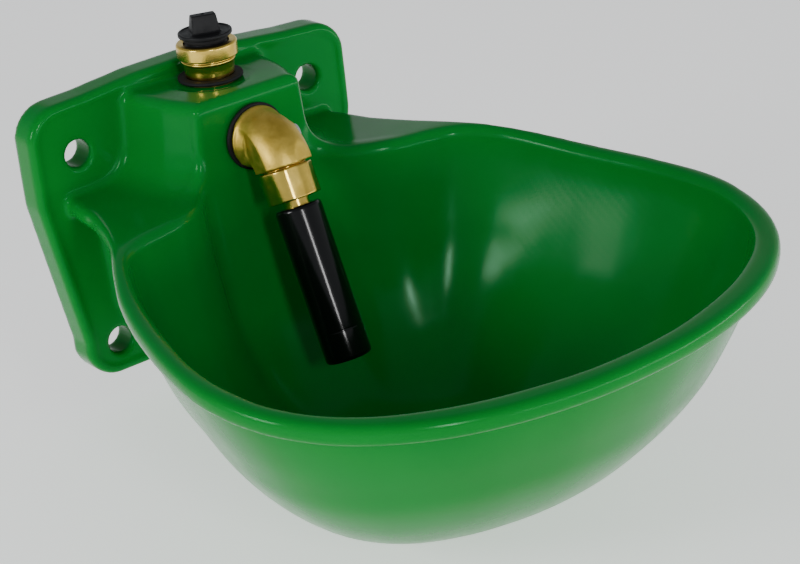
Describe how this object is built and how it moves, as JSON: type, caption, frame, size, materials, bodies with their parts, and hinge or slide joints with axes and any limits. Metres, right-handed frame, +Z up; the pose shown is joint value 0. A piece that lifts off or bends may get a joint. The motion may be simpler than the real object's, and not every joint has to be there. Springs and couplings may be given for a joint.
{
  "type": "animal drinking bowl with tilt tube valve",
  "caption": "Wall-mounted plastic drinking bowl for cattle or horses, with a brass inlet and elbow and a black tube that tilts to let water in.",
  "frame": {"origin": "on the wall plane, on the centre line, at the height of the deck between the wall plate and the bowl", "axes": "+Z up, +Y into the wall, so the bowl reaches out along -Y; +X to the right seen from the front"},
  "size_m": [0.2284, 0.259, 0.1548],
  "materials": {
    "bowl_green": "glossy injection-moulded green plastic",
    "turned_brass": "turned and bright",
    "rubber_black": "matte",
    "steel_wire": "plain",
    "plug_plastic": "satin moulded black plastic",
    "cast_brass": "as cast, satin",
    "screw_pale": "pale grey plastic",
    "tube_black": "glossy black plastic"
  },
  "bodies": {
    "bowl": {"bowl_body": "bowl_green", "inlet_socket": "turned_brass", "inlet_gasket": "rubber_black", "inlet_strainer": "steel_wire", "inlet_inner_seal": "rubber_black", "valve_block": "cast_brass", "outlet_gasket": "rubber_black", "outlet_inner_seal": "rubber_black", "outlet_elbow": "cast_brass", "valve_nut": "turned_brass", "seat_gasket": "rubber_black", "spring_retainer": "turned_brass", "valve_spring": "steel_wire"},
    "plug_washer": {"plug_seal": "rubber_black"},
    "plug": {"transport_plug": "plug_plastic"},
    "flow_ring": {"flow_screw_seal": "rubber_black"},
    "flow_adjuster": {"flow_screw": "screw_pale"},
    "follower": {"spring_follower": "steel_wire"},
    "tilt_tube": {"valve_stem": "turned_brass", "push_tube": "tube_black"}
  },
  "joints": [
    {"name": "tilt_to_wall", "type": "hinge", "parent": "bowl", "child": "follower", "pos_m": [0, -0.07045, 0.00004], "axis": [1, 0, 0], "range_deg": [-9, 9], "stiffness_Nm_per_rad": 0.4},
    {"name": "tilt_sideways", "type": "hinge", "parent": "follower", "child": "tilt_tube", "pos_m": [0, -0.07045, 0.00004], "axis": [0, -0.9272, 0.3746], "range_deg": [-9, 9], "stiffness_Nm_per_rad": 0.4},
    {"name": "plug_lift", "type": "slide", "parent": "bowl", "child": "plug_washer", "axis": [0, 0, 1], "range_m": [0, 0.00906]},
    {"name": "plug_turn", "type": "hinge", "parent": "plug_washer", "child": "plug", "pos_m": [0, -0.0258, 0.05], "axis": [0, 0, 1], "range_deg": [0, 1800]},
    {"name": "flow_slide", "type": "slide", "parent": "bowl", "child": "flow_ring", "axis": [-1, 0, 0], "range_m": [0, 0.00159]},
    {"name": "flow_turn", "type": "hinge", "parent": "flow_ring", "child": "flow_adjuster", "pos_m": [0.0096, -0.06, 0.0132], "axis": [-1, 0, 0], "range_deg": [0, 720]}
  ],
  "couplings": [
    {"joint": "plug_turn", "follows": "plug_lift", "rad_per_m": 3463.7},
    {"joint": "flow_turn", "follows": "flow_slide", "rad_per_m": 7854}
  ]
}
